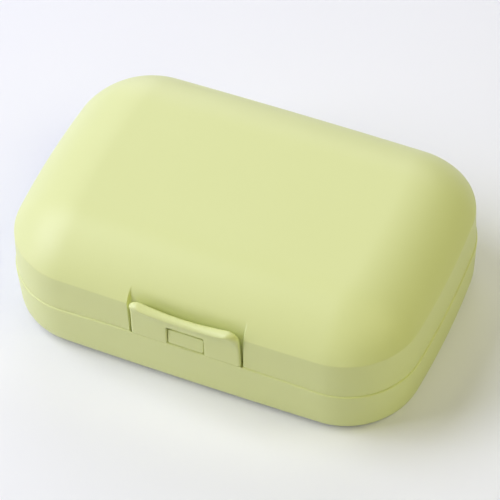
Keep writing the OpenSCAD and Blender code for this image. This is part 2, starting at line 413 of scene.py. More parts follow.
# On the shoulder the plane steps back a little more, and blends into the skin.
SCOOP = 0.55
SCOOP_FROM = 22.0
SCOOP_RISE = 6.0
SCOOP_BLEND = 1.5
PLAIN_BLEND = 0.3
TOP_CROWN = 0.1
RIM_MARGIN = 0.2


def soft_max(a, b, k):
    """The larger of a and b, with a rounding of width k where they meet."""
    h = np.clip(1 - np.abs(a - b) / k, 0, 1)
    return np.maximum(a, b) + h * h * k / 4


def skin_share(path):
    """0 on the outside of a profile and 1 on its inside, rising across the rim between them."""
    lowest = int(np.argmin(path[:, 1]))
    rim_start, rim_end = lowest - 3, lowest + 6
    row = np.arange(len(path))
    across = smooth_step((path[:, 0] - RIM_MARGIN) / (WALL - 2 * RIM_MARGIN))
    return np.where(row >= rim_end, 1.0, across * (row >= rim_start))


def press_recess(points, skin):
    """Moves points in front of the recess's back plane onto it, where |x| is inside it.

    The recess widens by RECESS_TAPER over its height, and its plane steps back by SCOOP
    on the shoulder. skin is 0 on the outside of the lid and 1 on its inside.
    """
    x, y, z = points[..., 0], points[..., 1], points[..., 2]
    rise = np.clip((z - LID_Z) / RECESS_H, 0, 1)
    half = RECESS_HALF + RECESS_PLAY + RECESS_TAPER * rise + RECESS_WALL * skin
    scoop = SCOOP * smooth_step((z - SCOOP_FROM) / SCOOP_RISE) * (1 - skin)
    back = RECESS_D + scoop + RECESS_WALL * skin - HALF_W
    edge = RECESS_EDGE + RECESS_EDGE_INSIDE * skin
    mask = smooth_step((half + edge - np.abs(x)) / (2 * edge)) * (y < 0)
    blend = SCOOP_BLEND * (1 - skin) + PLAIN_BLEND
    moved = points.copy()
    moved[..., 1] = y + mask * (soft_max(y, back, blend) - y)
    return moved


def crown(points):
    """The flat top swells by a tenth of a millimetre: c (1 - x2/a2) (1 - y2/b2)."""
    x, y, z = points[..., 0], points[..., 1], points[..., 2]
    swell = np.clip(1 - (x / HALF_L) ** 2, 0, 1) * np.clip(1 - (y / HALF_W) ** 2, 0, 1)
    moved = points.copy()
    moved[..., 2] = z + TOP_CROWN * swell * smooth_step((z - CREASE_Z) / SHOULDER_H)
    return moved


lid_skin = press_recess(carried(lid_path), skin_share(lid_path))
lid = make_piece("lid_cover", [(arched(crown(closed(lid_skin, 8, 5))), True, False)])

# %% [markdown]
# ## The base
#
# The base is the same kind of skin: floor, rounded foot, drafted wall, rim, and inside it
# the thickened rim with the locating lip that centres the lid. In front, the lip stops
# short of the latch, and a half-round groove takes the root of the tab. There the rim's
# outer edge is sharper, so that the tab's root covers it without a gap.

# %% Shape the base
# Outside: draft, foot radius and rim radius, which is sharper where the tab covers it.
BASE_DRAFT = 0.72
FOOT_R = 4.2
RIM_R = 0.5
SHARP_R = 0.08
SHARP_RUN = 0.3
# Inside: the floor, the flat top of the rim, and how deep the rim is thickened.
FLOOR_T = 1.8
FLOOR_R = 2.2
RIM_FLAT = 0.8
RIM_INSET = 3.1
RIM_DEPTH = 3.0
RIM_HAUNCH = 1.3
# The locating lip, and where it stops beside the latch.
LIP_OUT = 2.0
LIP_H = 2.5
LIP_STOP = 17.3
LIP_STOP_RUN = 0.5
# The tab's round root, and the groove that takes it.
ROOT_IN = 0.95
ROOT_R = 0.65
GROOVE_PLAY = 0.1
GROOVE_END = 0.1
GROOVE_STEP = 0.08
GROOVE_FROM = PART_Z - 0.05


def wall_inset(z):
    """Inset of the base's outside at height z: the draft shared out evenly over the height."""
    return BASE_DRAFT * (PART_Z - z) / (PART_Z - FOOT_R)


def base_profile(rim_r):
    """(inset, z) from the middle of the underside round the rim and lip to the floor inside."""
    low = PART_Z - RIM_DEPTH - RIM_HAUNCH
    rim = filled(np.array([[RIM_FLAT, PART_Z], [LIP_OUT, PART_Z]]), GROOVE_STEP)
    outer = rounded(
        [
            (BASE_DRAFT + FOOT_R + 4, 0, 0),
            (BASE_DRAFT, 0, FOOT_R),
            (0, PART_Z, rim_r),
            (RIM_FLAT, PART_Z, 0),
        ],
        steps=7,
    )
    inner = rounded(
        [
            (LIP_OUT - 0.1, PART_Z, 0),
            (LIP_OUT, PART_Z, 0.05),
            (LIP_OUT + 0.02, PART_Z + LIP_H, 0.45),
            (RIM_INSET, PART_Z + LIP_H, 0.4),
            (RIM_INSET, PART_Z - RIM_DEPTH, 0.5),
            (WALL + wall_inset(low), low, 1.2),
            (WALL + wall_inset(FLOOR_T), FLOOR_T, FLOOR_R),
            (WALL + BASE_DRAFT + FLOOR_R + 5, FLOOR_T, 0),
        ]
    )
    return np.concatenate([filled(outer, 1.6)[:-1], rim[:-1], filled(inner, 1.2)[1:]])


def cut_for_latch(points):
    """Lowers the lip behind the latch and presses the half-round groove into the rim.

    The groove's depth is sqrt(r2 - d2) at distance d from the axis of the tab's root.
    """
    x, y, z = points[..., 0], points[..., 1], points[..., 2]
    front = (y < -HALF_W / 2).astype(float)
    gap = smooth_step((LIP_STOP - np.abs(x)) / LIP_STOP_RUN) * front
    z = z - gap * np.maximum(z - PART_Z, 0)
    across = y + HALF_W - ROOT_IN
    depth = np.sqrt(np.clip((ROOT_R + GROOVE_PLAY) ** 2 - across**2, 0, None))
    slot = smooth_step((RECESS_HALF + RECESS_PLAY - np.abs(x)) / GROOVE_END) * front
    moved = points.copy()
    moved[..., 2] = np.where(z > GROOVE_FROM, z - slot * depth, z)
    return moved


base_skin, sharp_skin = carried(base_profile(RIM_R)), carried(base_profile(SHARP_R))
sharpen = smooth_step((RECESS_HALF + SHARP_RUN - np.abs(base_skin[..., :1])) / SHARP_RUN)
sharpen = sharpen * (base_skin[..., 1:2] < 0)
base_skin = cut_for_latch(base_skin + sharpen * (sharp_skin - base_skin))
base = make_piece("base_tub", [(arched(closed(base_skin, 3, 3)), True, False)])

# %% [markdown]
# ## The latch tab's two faces
#
# The tab is a springy leaf: straight above its root, then curling outward to a thick round
# lip that a thumb can catch. Two curves give its front and back faces over the height.
# The root is round, because it turns in the groove of the base. The lip's upper edge dips
# in the middle, and the curl follows the dip, so the lip is equally tall all along.

# %% Draw the tab from the side
# In front view: half the width at the root and at the top, corners, height and dip.
TAB_HALF = 14.7
TAB_TOP_HALF = TAB_HALF - 0.2
TAB_CORNER_R = 2.5
TAB_CORNER_X = TAB_TOP_HALF - TAB_CORNER_R
TAB_TOP = 13.4
TAB_DIP = 1.1
# From the side: the leaf's thickness, its inset from the wall, the lip, and its flare.
TAB_T = 1.3
TAB_IN = 0.06
TAB_LIP_T = 3.0
TAB_FLARE = 2.55
FLARE_FROM = 6.2
FLARE_POWER = 1.9
FLARE_LIMIT = 1.2
FRONT_BLEND = 0.06
BACK_BLEND = 1.2


def bead(h):
    """Half the thickness of the round root at height h, where h is below zero: sqrt(r2 - h2)."""
    return np.sqrt(np.clip(ROOT_R**2 - np.minimum(h, 0) ** 2, 0, None))


def flare(h):
    """0 up to FLARE_FROM and 1 at the top, growing as a power of the height between."""
    return np.clip((h - FLARE_FROM) / (TAB_TOP - FLARE_FROM), 0, FLARE_LIMIT) ** FLARE_POWER


def leaf_front(h):
    """y of the outer face at height h: round root, flush leaf, then the flare outward."""
    root = ROOT_IN - bead(h)
    flush = root + (TAB_IN - root) * smooth_step(h / FRONT_BLEND)
    return flush - HALF_W - (TAB_FLARE + TAB_IN) * flare(h)


def leaf_back(h):
    """y of the inner face at height h, which flares less, so that the leaf thickens to its lip."""
    root = ROOT_IN + bead(h)
    flush = root + (TAB_T - root) * smooth_step(h / BACK_BLEND)
    return flush - HALF_W - (TAB_FLARE - TAB_LIP_T + TAB_T) * flare(h)


def leaf_height(x, h):
    """Height on the two curves: near the top, the dip of the upper edge is added to h."""
    dip = TAB_DIP * np.clip(1 - (x / TAB_CORNER_X) ** 2, 0, 1)
    return h + dip * smooth_step((h - FLARE_FROM) / (TAB_TOP - TAB_DIP - FLARE_FROM))


print("the lip is", round(leaf_back(TAB_TOP) - leaf_front(TAB_TOP), 2), "mm thick")

# %% [markdown]
# ## The latch tab's outlines
#
# Seen from the front the tab has a window for the catch, so it is a ring. It is drawn
# between two outlines with equally many points: the edge of the leaf and the window.
# Both are straight at the foot and round at the upper corners, and the leaf's upper side
# dips as a parabola. Points crowd towards the foot, where the leaf turns into its root.

# %% Draw the tab from the front
FOOT_POINTS = 48
SIDE_POINTS = 40
ARC_POINTS = 10
TOP_POINTS = 64
SIDE_CROWDING = 1.8
WINDOW_HALF = 4.95
WINDOW_LOW = 0.25
WINDOW_HIGH = 6.7
WINDOW_R = 0.3


def ring_outline(half_low, half_high, low, high, radius, dip):
    """Closed (x, h) outline: foot, right side, round corner, dipped top, and the mirror image."""
    foot_x = np.linspace(-half_low, half_low, FOOT_POINTS, endpoint=False)
    foot = np.stack([foot_x, np.full(FOOT_POINTS, low)], axis=-1)
    up = np.linspace(0, 1, SIDE_POINTS, endpoint=False) ** SIDE_CROWDING
    side_x = half_low + up * (half_high - half_low)
    side_h = low + up * (high - radius - low)
    a = np.linspace(0, np.pi / 2, ARC_POINTS, endpoint=False)
    arc_x = half_high - radius + radius * np.cos(a)
    arc_h = high - radius + radius * np.sin(a)
    right = np.stack([np.append(side_x, arc_x), np.append(side_h, arc_h)], axis=-1)
    top_x = np.linspace(half_high - radius, radius - half_high, TOP_POINTS, endpoint=False)
    across = top_x / (half_high - radius)
    top = np.stack([top_x, high - dip * (1 - across**2)], axis=-1)
    top_end = [[radius - half_high, high]]
    left = right[:0:-1] * [-1, 1]
    return np.concatenate([foot, right, top, top_end, left])


leaf_edge = ring_outline(TAB_HALF, TAB_TOP_HALF, -ROOT_R, TAB_TOP, TAB_CORNER_R, TAB_DIP)
window_edge = ring_outline(WINDOW_HALF, WINDOW_HALF, WINDOW_LOW, WINDOW_HIGH, WINDOW_R, 0)
print("points on each of the tab's outlines:", len(leaf_edge), len(window_edge))

# %% [markdown]
# ## The latch tab
#
# Now each face is a grid of rows from the leaf's edge to the window. Near an outline the
# rows follow a quarter circle: they crowd together and sink below the face, which rounds
# the edge. The lip has larger radii than the sides, and at the foot there is almost none,
# because the root is round already. Front and back grid, joined at both outlines, make
# one closed surface.

# %% Shape the tab
SIDE_R = 0.6
LIP_FRONT_R = 1.9
LIP_BACK_R = 1.0
LIP_FROM = 7.0
ROOT_EDGE_R = 0.02
HOLE_R = 0.4


def edge_radius(lip_r):
    """Radius of the leaf's edge: SIDE_R along the sides, growing to lip_r at the top."""
    h = leaf_edge[:, 1]
    rise = smooth_step((h - LIP_FROM) / (TAB_TOP - TAB_DIP - LIP_FROM))
    return np.where(h < -ROOT_R + 0.01, ROOT_EDGE_R, SIDE_R + (lip_r - SIDE_R) * rise)[:, None]


def tab_face(edge_r, both_r, back):
    """One face: a grid from the leaf's edge to the window, sunk by r (1 - sin) at both.

    Where the leaf is thinner than its front and back radius together, both sink less.
    """
    across = (leaf_edge - window_edge)[:, None, :]
    width = np.linalg.norm(across, axis=-1)
    a = np.linspace(0, np.pi / 2, 10)
    near, near_sink = edge_r * (1 - np.cos(a)), edge_r * (1 - np.sin(a))
    between = edge_r + np.linspace(0, 1, 30)[1:-1] * (width - edge_r - HOLE_R)
    far = width - HOLE_R * (1 - np.cos(a[::-1]))
    far_sink = np.broadcast_to(HOLE_R * (1 - np.sin(a[::-1])), far.shape)
    inward = np.concatenate([near, between, far], axis=1)
    sink = np.concatenate([near_sink, np.zeros_like(between), far_sink], axis=1)
    place = window_edge[:, None, :] + (1 - inward / width)[..., None] * across
    x, h = place[..., 0], place[..., 1]
    front, behind = leaf_front(leaf_height(x, h)), leaf_back(leaf_height(x, h))
    sink = sink * np.minimum(1, (behind - front) / both_r)
    y = behind - sink if back else front + sink
    return np.stack([x, y, PART_Z + h], axis=-1)


front_r, back_r = edge_radius(LIP_FRONT_R), edge_radius(LIP_BACK_R)
front_face = tab_face(front_r, front_r + back_r, back=False)
back_face = tab_face(back_r, front_r + back_r, back=True)
tab_grid = np.concatenate([front_face, back_face[:, ::-1]], axis=1)
latch = make_piece("latch_leaf", [(arched(tab_grid), True, True)])

# %% [markdown]
# ## The catch
#
# The catch is a small block on the recess's back wall that fills the window of the tab.
# Its face leans back a little towards the top. A bevelled box would do, but a
# super-ellipse has the rectangle and its soft corners in one formula. It is carried
# forward from inside the wall to a face with a round edge.

# %% Shape the catch
CATCH_HALF = 4.78
CATCH_LOW = PART_Z + 0.4
CATCH_HIGH = PART_Z + 5.4
CATCH_FACE = 0.25 - HALF_W
CATCH_LEAN = 0.4
CATCH_R = 0.2
CATCH_POWER = 14
CATCH_ROOT = RECESS_D + 0.6 - HALF_W


def catch_grid():
    """Super-ellipse |x/a|^14 + |z/b|^14 = 1, carried from inside the wall to the face.

    It shrinks by r (1 - cos) round the front edge, and then to the middle of the face.
    """
    t = np.linspace(0, 2 * np.pi, 96, endpoint=False)
    cx = np.sign(np.cos(t)) * np.abs(np.cos(t)) ** (2 / CATCH_POWER)
    cz = np.sign(np.sin(t)) * np.abs(np.sin(t)) ** (2 / CATCH_POWER)
    middle, half = (CATCH_LOW + CATCH_HIGH) / 2, (CATCH_HIGH - CATCH_LOW) / 2
    a = np.linspace(0, np.pi / 2, 6)
    shrink = np.concatenate([[0, 0], CATCH_R * (1 - np.cos(a)), [1.2, 2.2]])
    edge_y = CATCH_FACE + CATCH_R * (1 - np.sin(a))
    y = np.concatenate([[CATCH_ROOT, CATCH_FACE + 0.9], edge_y, [CATCH_FACE, CATCH_FACE]])
    x = cx[:, None] * (CATCH_HALF - shrink)
    z = middle + cz[:, None] * (half - shrink)
    forward = np.clip((RECESS_D - HALF_W - y) / (RECESS_D - HALF_W - CATCH_FACE), 0, 1)
    y = y + forward * CATCH_LEAN * (z - CATCH_LOW) / (CATCH_HIGH - CATCH_LOW)
    block = np.stack([x, y, z], axis=-1)
    centre = block.mean(axis=0, keepdims=True).repeat(len(t), axis=0)
    return np.concatenate([centre[:, :1], block, centre[:, -1:]], axis=1)


catch = make_piece("lid_catch", [(arched(catch_grid()), True, False)])

# %% [markdown]
# ## The hinge's knuckles and lugs
#
# Each of the two hinge stations has a knuckle on the lid between two lugs on the base.
# Seen along the pin, each is a round eye with a foot that runs into the shell. As every
# ray from the pin's axis leaves that shape once, it can be written as a radius for each
# angle, and a loop of sections from the outside to the bore makes a pierced block.

# %% Shape knuckles and lugs
HINGE_X = 28.0
HINGE_Y = HALF_W + 2.6
KNUCKLE_R = 2.2
KNUCKLE_L = 6.0
KNUCKLE_GAP = 0.3
LUG_L = 3.0
PIN_R = 1.0
BORE_R = PIN_R + 0.06
FOOT_REACH = 3.9
EYE_EDGE_R = 0.3
TINY = 1e-6


def eye_radius(t, below):
    """Distance from the pin's axis to the outline at angle t.

    It is the eye's radius, or the distance to the foot's nearer face where that is more.
    The foot points to the shell, and lies below or above the axis.
    """
    c, s = np.cos(t), np.sin(t)
    towards_shell = c < -TINY
    back = np.where(towards_shell, FOOT_REACH / np.maximum(-c, TINY), np.inf)
    on_foot_side = (s < 0) if below else (s > 0)
    side = np.where(on_foot_side, KNUCKLE_R / np.maximum(np.abs(s), TINY), 0.0)
    foot = np.where(towards_shell, np.minimum(back, side), 0.0)
    return np.maximum(KNUCKLE_R, foot)


def eye_grid(x, length, bore, below):
    """Pierced block round the hinge pin, a closed loop of sections from outside to bore."""
    t = np.linspace(0, 2 * np.pi, 128, endpoint=False)[:, None]
    a = np.linspace(0, np.pi / 2, 5)
    e, h = EYE_EDGE_R, length / 2
    straight = np.linspace(-h + e, h - e, 6)
    along = np.concatenate([h - e + e * np.sin(a), np.full(5, h)])
    inset = np.concatenate([e * (1 - np.cos(a)), np.full(5, e)])
    share = np.concatenate([np.zeros(5), np.linspace(0.2, 1, 5)])
    along = np.concatenate([straight, along, -along[::-1]])
    inset = np.concatenate([np.zeros(6), inset, inset[::-1]])
    share = np.concatenate([np.zeros(6), share, share[::-1]])
    radius = (eye_radius(t, below) - inset) * (1 - share) + bore * share
    y = HINGE_Y + radius * np.cos(t)
    z = PART_Z + radius * np.sin(t)
    return np.stack([np.broadcast_to(x + along, y.shape), y, z], axis=-1)


lug_at = KNUCKLE_L / 2 + KNUCKLE_GAP + LUG_L / 2
stations = (-HINGE_X, HINGE_X)
knuckles = make_piece(
    "lid_knuckles", [(eye_grid(x, KNUCKLE_L, BORE_R, False), True, True) for x in stations]
)
lug_places = [x + side * lug_at for x in stations for side in (-1, 1)]
lugs = make_piece(
    "base_lugs", [(eye_grid(x, LUG_L, PIN_R, True), True, True) for x in lug_places]
)

# %% [markdown]
# ## The hinge's pins
#
# Each station turns on a short piece of stainless wire, pressed into the lugs. A pin is
# the simplest surface of all, a list of radii turned about the X axis, with a small
# chamfer at both ends from the cutting.

# %% Shape the pins
PIN_L = KNUCKLE_L + 2 * KNUCKLE_GAP + 2 * LUG_L
PIN_CHAMFER = 0.15
PIN_SOFT = 0.05


def pin_grid(x):
    """Round pin turned about X: half a profile of (distance from the middle, radius), mirrored."""
    h, c = PIN_L / 2, PIN_CHAMFER
    along = np.array([h - c - PIN_SOFT, h - c, h, h])
    r = np.array([PIN_R, PIN_R - PIN_SOFT / 5, PIN_R - c, 0])
    along, r = np.append(-along[::-1], along), np.append(r[::-1], r)
    t = np.linspace(0, 2 * np.pi, 48, endpoint=False)[:, None]
    y, z = HINGE_Y + r * np.cos(t), PART_Z + r * np.sin(t)
    return np.stack([np.broadcast_to(x + along, y.shape), y, z], axis=-1)


pin_left = make_piece("hinge_pin_left_wire", [(pin_grid(-HINGE_X), True, False)])
pin_right = make_piece("hinge_pin_right_wire", [(pin_grid(HINGE_X), True, False)])

# %% [markdown]
# ## The drain tray's plate
#
# The tray keeps the soap out of the water. It is a thin plate with two rows of slots, low
# ridges between them and four feet below. The plate is a flat grid with the cells of the
# slots left out. The ring between that grid and the rounded outline is odd in shape, so
# Blender's own filling makes its triangles. Solidify then gives the plate its thickness
# and Bevel its soft edges.

# %% Shape the plate
TRAY_INSET = 3.7
TRAY_T = 1.6
TRAY_LOW = FLOOR_T + 3.0
TRAY_TOP = TRAY_LOW + TRAY_T
TRAY_EDGE_R = 0.25
SLOT_PITCH = 8.0
SLOT_W = 3.2
SLOT_L = 22.0
BRIDGE = 6.0
SLOT_END = BRIDGE / 2 + SLOT_L
FIELD_X = 38.0
FIELD_Y = 27.0


def slotted_field():
    """Corners (x, y) and quads of a grid whose lines are the slots' edges, without the slots."""
    slot_x = np.arange(-4, 5) * SLOT_PITCH
    slot_sides = np.concatenate([slot_x - SLOT_W / 2, slot_x + SLOT_W / 2])
    lines_x = np.sort(np.concatenate([slot_sides, [-FIELD_X, FIELD_X]]))
    lines_y = np.array([-FIELD_Y, -SLOT_END, -BRIDGE / 2, BRIDGE / 2, SLOT_END, FIELD_Y])
    gx, gy = np.meshgrid(lines_x, lines_y, indexing="ij")
    corners = np.stack([gx.ravel(), gy.ravel()], axis=-1)
    quads = grid_faces(len(lines_x), len(lines_y), False, False)
    middle = corners[quads].mean(axis=1)
    in_slot = (np.abs(middle[:, :1] - slot_x) < SLOT_W / 2).any(axis=1)
    in_row = (np.abs(middle[:, 1]) > BRIDGE / 2) & (np.abs(middle[:, 1]) < SLOT_END)
    return corners, quads[~(in_slot & in_row)]


def tray_mesh():
    """The slotted field, and triangles between its border and the tray's rounded outline."""
    field, quads = slotted_field()
    outline = carried([[TRAY_INSET, 0]])[::2, 0, :2]
    flat = np.concatenate([field, outline])
    places = np.column_stack([flat, np.full(len(flat), TRAY_TOP)]) * MM
    ring = np.arange(len(field), len(flat))
    ring_edges = np.stack([ring, np.roll(ring, -1)], axis=-1)
    mesh = bpy.data.meshes.new("drain_tray_plate")
    mesh.from_pydata(places.tolist(), ring_edges.tolist(), quads.tolist())
    on_border = (np.abs(flat[:, 0]) == FIELD_X) | (np.abs(flat[:, 1]) == FIELD_Y)
    build = bmesh.new()
    build.from_mesh(mesh)
    outer = [edge for edge in build.edges if not edge.link_faces]
    single = [edge for edge in build.edges if len(edge.link_faces) == 1]
    inner = [edge for edge in single if all(on_border[v.index] for v in edge.verts)]
    bmesh.ops.triangle_fill(build, edges=inner + outer, use_beauty=True, normal=(0, 0, 1))
    bmesh.ops.recalc_face_normals(build, faces=build.faces)
    if sum(face.normal.z for face in build.faces) < 0:
        bmesh.ops.reverse_faces(build, faces=build.faces)
    build.to_mesh(mesh)
    build.free()
    return mesh


tray = bpy.data.objects.new("drain_tray_plate", tray_mesh())
bpy.context.scene.collection.objects.link(tray)
thick = tray.modifiers.new("thickness", "SOLIDIFY")
thick.thickness = TRAY_T * MM
thick.offset = -1
soft = tray.modifiers.new("soft edges", "BEVEL")
soft.width = TRAY_EDGE_R * MM
soft.segments = 2
soft.limit_method = "ANGLE"
print("tray plate", len(tray.data.polygons), "faces before its thickness")

# %% [markdown]
# ## The drain tray's ridges and feet
#
# The soap lies on ten low ridges between the slots, so that air reaches it from below.
# A ridge is a soft bar whose ends shrink to a point, and a foot is a turned stub. Both
# reach into the plate, so they need no exact joint, and all are joined into one piece.

# %% Shape ridges and feet
RIDGE_HALF = 0.8
RIDGE_H = 1.2
RIDGE_END = 0.8
RIDGE_POWER = 0.7
STUB_R = 3.0
STUB_EDGE_R = 0.4
STUB_IN = 0.4


def ridge_grid(x):
    """Ridge along Y at x: a soft oval bar, sized by sin or cos of the angle at its ends."""
    t = np.linspace(0, 2 * np.pi, 24, endpoint=False)
    a = np.linspace(0, np.pi / 2, 6)
    straight = SLOT_END - RIDGE_END
    y = np.concatenate([-straight - RIDGE_END * np.cos(a), straight + RIDGE_END * np.sin(a)])
    size = np.concatenate([np.sin(a), np.cos(a)])
    px = RIDGE_HALF * np.sign(np.cos(t)) * np.abs(np.cos(t)) ** RIDGE_POWER
    pz = RIDGE_H * np.sin(t)
    gx = x + px[:, None] * size
    gz = TRAY_TOP + pz[:, None] * size
    return np.stack([gx, np.broadcast_to(y, gx.shape), gz], axis=-1)


def foot_grid(x, y):
    """Round foot below the plate, turned about Z, with a soft lower edge."""
    t = np.linspace(0, 2 * np.pi, 40, endpoint=False)[:, None]
    a = np.linspace(0, np.pi / 2, 5)
    e = STUB_EDGE_R
    r = np.concatenate([[0], STUB_R - e + e * np.sin(a), [STUB_R, 0]])
    z = np.concatenate([[FLOOR_T], FLOOR_T + e - e * np.cos(a), [TRAY_LOW + STUB_IN] * 2])
    gx, gy = x + r * np.cos(t), y + r * np.sin(t)
    return np.stack([gx, gy, np.broadcast_to(z, gx.shape)], axis=-1)


foot_x, foot_y = HALF_L - CORNER_R, HALF_W - CORNER_R
ridges = [ridge_grid(x) for x in np.arange(-4.5, 5) * SLOT_PITCH]
feet = [foot_grid(sx * foot_x, sy * foot_y) for sx in (-1, 1) for sy in (-1, 1)]
ribs = make_piece("drain_tray_ribs", [(grid, True, False) for grid in ridges + feet])

# %% [markdown]
# ## The plastic
#
# The shells are one colour right through, with a very fine spark-eroded grain that turns
# gloss into a soft sheen. Three faint effects keep it from looking like paint: the tone
# wanders a little over centimetres, as pigment does; the sheen wanders with it; and the
# grain is a height of a few hundredths of a millimetre. A node group makes all three,
# and each material places it with its own colours and roughness.

# %% Build the shared grain group
SKIN_INPUTS = [
    ("Colour", "NodeSocketColor", (0.7, 0.75, 0.3, 1)),
    ("Deep Colour", "NodeSocketColor", (0.68, 0.73, 0.28, 1)),
    ("Roughness", "NodeSocketFloat", 0.45),
    ("Roughness Spread", "NodeSocketFloat", 0.05),
    ("Patch Scale", "NodeSocketFloat", 30.0),
    ("Grain Scale", "NodeSocketFloat", 3200.0),
]
SKIN_OUTPUTS = [
    ("Colour", "NodeSocketColor"),
    ("Roughness", "NodeSocketFloat"),
    ("Height", "NodeSocketFloat"),
]


def make_grain_group():
    """Group that puts out a wandering colour, a wandering roughness and a grain height."""
    group = bpy.data.node_groups.new("moulded_skin", "ShaderNodeTree")
    for name, kind, value in SKIN_INPUTS:
        socket = group.interface.new_socket(name=name, in_out="INPUT", socket_type=kind)
        socket.default_value = value
    for name, kind in SKIN_OUTPUTS:
        group.interface.new_socket(name=name, in_out="OUTPUT", socket_type=kind)
    nodes, link = group.nodes, group.links.new
    given = nodes.new("NodeGroupInput")
    result = nodes.new("NodeGroupOutput")
    where = nodes.new("ShaderNodeTexCoord")
    # Slow noise mixes the two colours, so that the tone wanders.
    patch = nodes.new("ShaderNodeTexNoise")
    patch.inputs["Detail"].default_value = 3
    link(where.outputs["Object"], patch.inputs["Vector"])
    link(given.outputs["Patch Scale"], patch.inputs["Scale"])
    mix = nodes.new("ShaderNodeMix")
    mix.data_type = "RGBA"
    link(patch.outputs["Fac"], mix.inputs["Factor"])
    link(given.outputs["Colour"], mix.inputs["A"])
    link(given.outputs["Deep Colour"], mix.inputs["B"])
    link(mix.outputs["Result"], result.inputs["Colour"])
    # The roughness is the given one plus (noise - 0.5) times its spread.
    centred = nodes.new("ShaderNodeMath")
    centred.operation = "SUBTRACT"
    link(patch.outputs["Fac"], centred.inputs[0])
    centred.inputs[1].default_value = 0.5
    sheen = nodes.new("ShaderNodeMath")
    sheen.operation = "MULTIPLY_ADD"
    link(centred.outputs[0], sheen.inputs[0])
    link(given.outputs["Roughness Spread"], sheen.inputs[1])
    link(given.outputs["Roughness"], sheen.inputs[2])
    link(sheen.outputs[0], result.inputs["Roughness"])
    # Fine noise is the height of the grain.
    grain = nodes.new("ShaderNodeTexNoise")
    grain.inputs["Detail"].default_value = 4
    grain.inputs["Roughness"].default_value = 0.6
    link(where.outputs["Object"], grain.inputs["Vector"])
    link(given.outputs["Grain Scale"], grain.inputs["Scale"])
    link(grain.outputs["Fac"], result.inputs["Height"])
    return group


grain_group = make_grain_group()
print("group sockets:", [s.name for s in grain_group.interface.items_tree])

# %% [markdown]
# ## Three finishes
#
# The lime shells, the paler tray and the steel pins are three materials. The two plastics
# share one recipe. The pins are drawn wire: the grain is the same noise stretched along X,
# so that it reads as fine lines along the wire.

# %% Make the materials
GRAIN_STRENGTH = 0.25
GRAIN_HEIGHT = 0.02


def new_material(name):
    """An empty node material: itself, its nodes, its link call and its Principled shader."""
    material = bpy.data.materials.new(name)
    material.use_nodes = True
    tree = material.node_tree
    return material, tree.nodes, tree.links.new, tree.nodes["Principled BSDF"]


def plastic(name, colour, deep, roughness, level):
    """Moulded plastic from the shared group, with its grain as a bump."""
    material, nodes, link, shader = new_material(name)
    skin = nodes.new("ShaderNodeGroup")
    skin.node_tree = grain_group
    skin.inputs["Colour"].default_value = (*colour, 1)
    skin.inputs["Deep Colour"].default_value = (*deep, 1)
    skin.inputs["Roughness"].default_value = roughness
    link(skin.outputs["Colour"], shader.inputs["Base Color"])
    link(skin.outputs["Roughness"], shader.inputs["Roughness"])
    bump = nodes.new("ShaderNodeBump")
    bump.inputs["Strength"].default_value = GRAIN_STRENGTH
    bump.inputs["Distance"].default_value = GRAIN_HEIGHT * MM
    link(skin.outputs["Height"], bump.inputs["Height"])
    link(bump.outputs["Normal"], shader.inputs["Normal"])
    shader.inputs["Specular IOR Level"].default_value = level
    return material


def drawn_wire(name):
    """Stainless wire with lines along it, made by squeezing the noise along X."""
    material, nodes, link, shader = new_material(name)
    where = nodes.new("ShaderNodeTexCoord")
    squeeze = nodes.new("ShaderNodeMapping")
    squeeze.inputs["Scale"].default_value = (0.05, 1, 1)
    lines = nodes.new("ShaderNodeTexNoise")
    lines.inputs["Scale"].default_value = 6000
    tone = nodes.new("ShaderNodeMapRange")
    tone.inputs["To Min"].default_value = 0.22
    tone.inputs["To Max"].default_value = 0.38
    link(where.outputs["Object"], squeeze.inputs["Vector"])
    link(squeeze.outputs["Vector"], lines.inputs["Vector"])
    link(lines.outputs["Fac"], tone.inputs["Value"])
    link(tone.outputs["Result"], shader.inputs["Roughness"])
    shader.inputs["Metallic"].default_value = 1.0
    shader.inputs["Base Color"].default_value = (0.62, 0.62, 0.63, 1)
    return material


lime = plastic("lime_shell", (0.723, 0.765, 0.34), (0.703, 0.745, 0.318), 0.45, 0.5)
pale_lime = plastic("pale_tray", (0.76, 0.79, 0.5), (0.74, 0.77, 0.47), 0.5, 0.5)
wire = drawn_wire("drawn_wire")
print("materials:", lime.name, pale_lime.name, wire.name)

# %% [markdown]
# ## Bodies, nodes and finishes
#
# Each piece rides on the body that it moves with: the lid swings, the latch flexes and
# the rest stays with the base. Where a piece stands for a CAD node, that node is hidden.
# Catch, knuckles, lugs and ribs are part of such nodes and are only fitted to them.

# %% Give each piece its body, node and material; the table also lists its slot
PIECES = [
    (lid, "lid", ["lid_shell"], "shell", lime),
    (catch, "lid", [], "shell", lime),
    (knuckles, "lid", [], "shell", lime),
    (base, "base", ["base_shell"], "shell", lime),
    (lugs, "base", [], "shell", lime),
    (latch, "latch", ["latch_tab"], "shell", lime),
    (tray, "base", ["drain_tray"], "tray", pale_lime),
    (ribs, "base", [], "tray", pale_lime),
    (pin_left, "base", ["hinge_pin_left"], "pin", wire),
    (pin_right, "base", ["hinge_pin_right"], "pin", wire),
]
for piece, body, stood_for, slot, material in PIECES:
    piece.data.materials.clear()
    piece.data.materials.append(material)
    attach(piece, body)
    if stood_for:
        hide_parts(*stood_for)

# %% [markdown]
# ## The paper
#
# The photo was taken on white paper, which is a matt floor here. Lime plastic throws
# yellow light onto it, but in the photo the shadow beside the box stays grey. So the rays
# that reach the viewer, straight or by a mirror or glass, see a slightly warmer paper with
# a weak cool glow painted on it, which evens out in the open and paints the shadow
# cooler. Matt surfaces get no light from that painted glow.

# %% Lay the floor
FLOOR_REACH = 6.0
FLOOR_Z = -2e-5
FLOOR_COLOUR = (0.86, 0.865, 0.87)
FLOOR_SEEN = (0.86, 0.865, 0.783)
# A blue glow painted on the paper for rays that reach the viewer: it lightens and cools the
# shadow.
FLOOR_PAINTED_GLOW = (0.0, 0.0, 0.08)


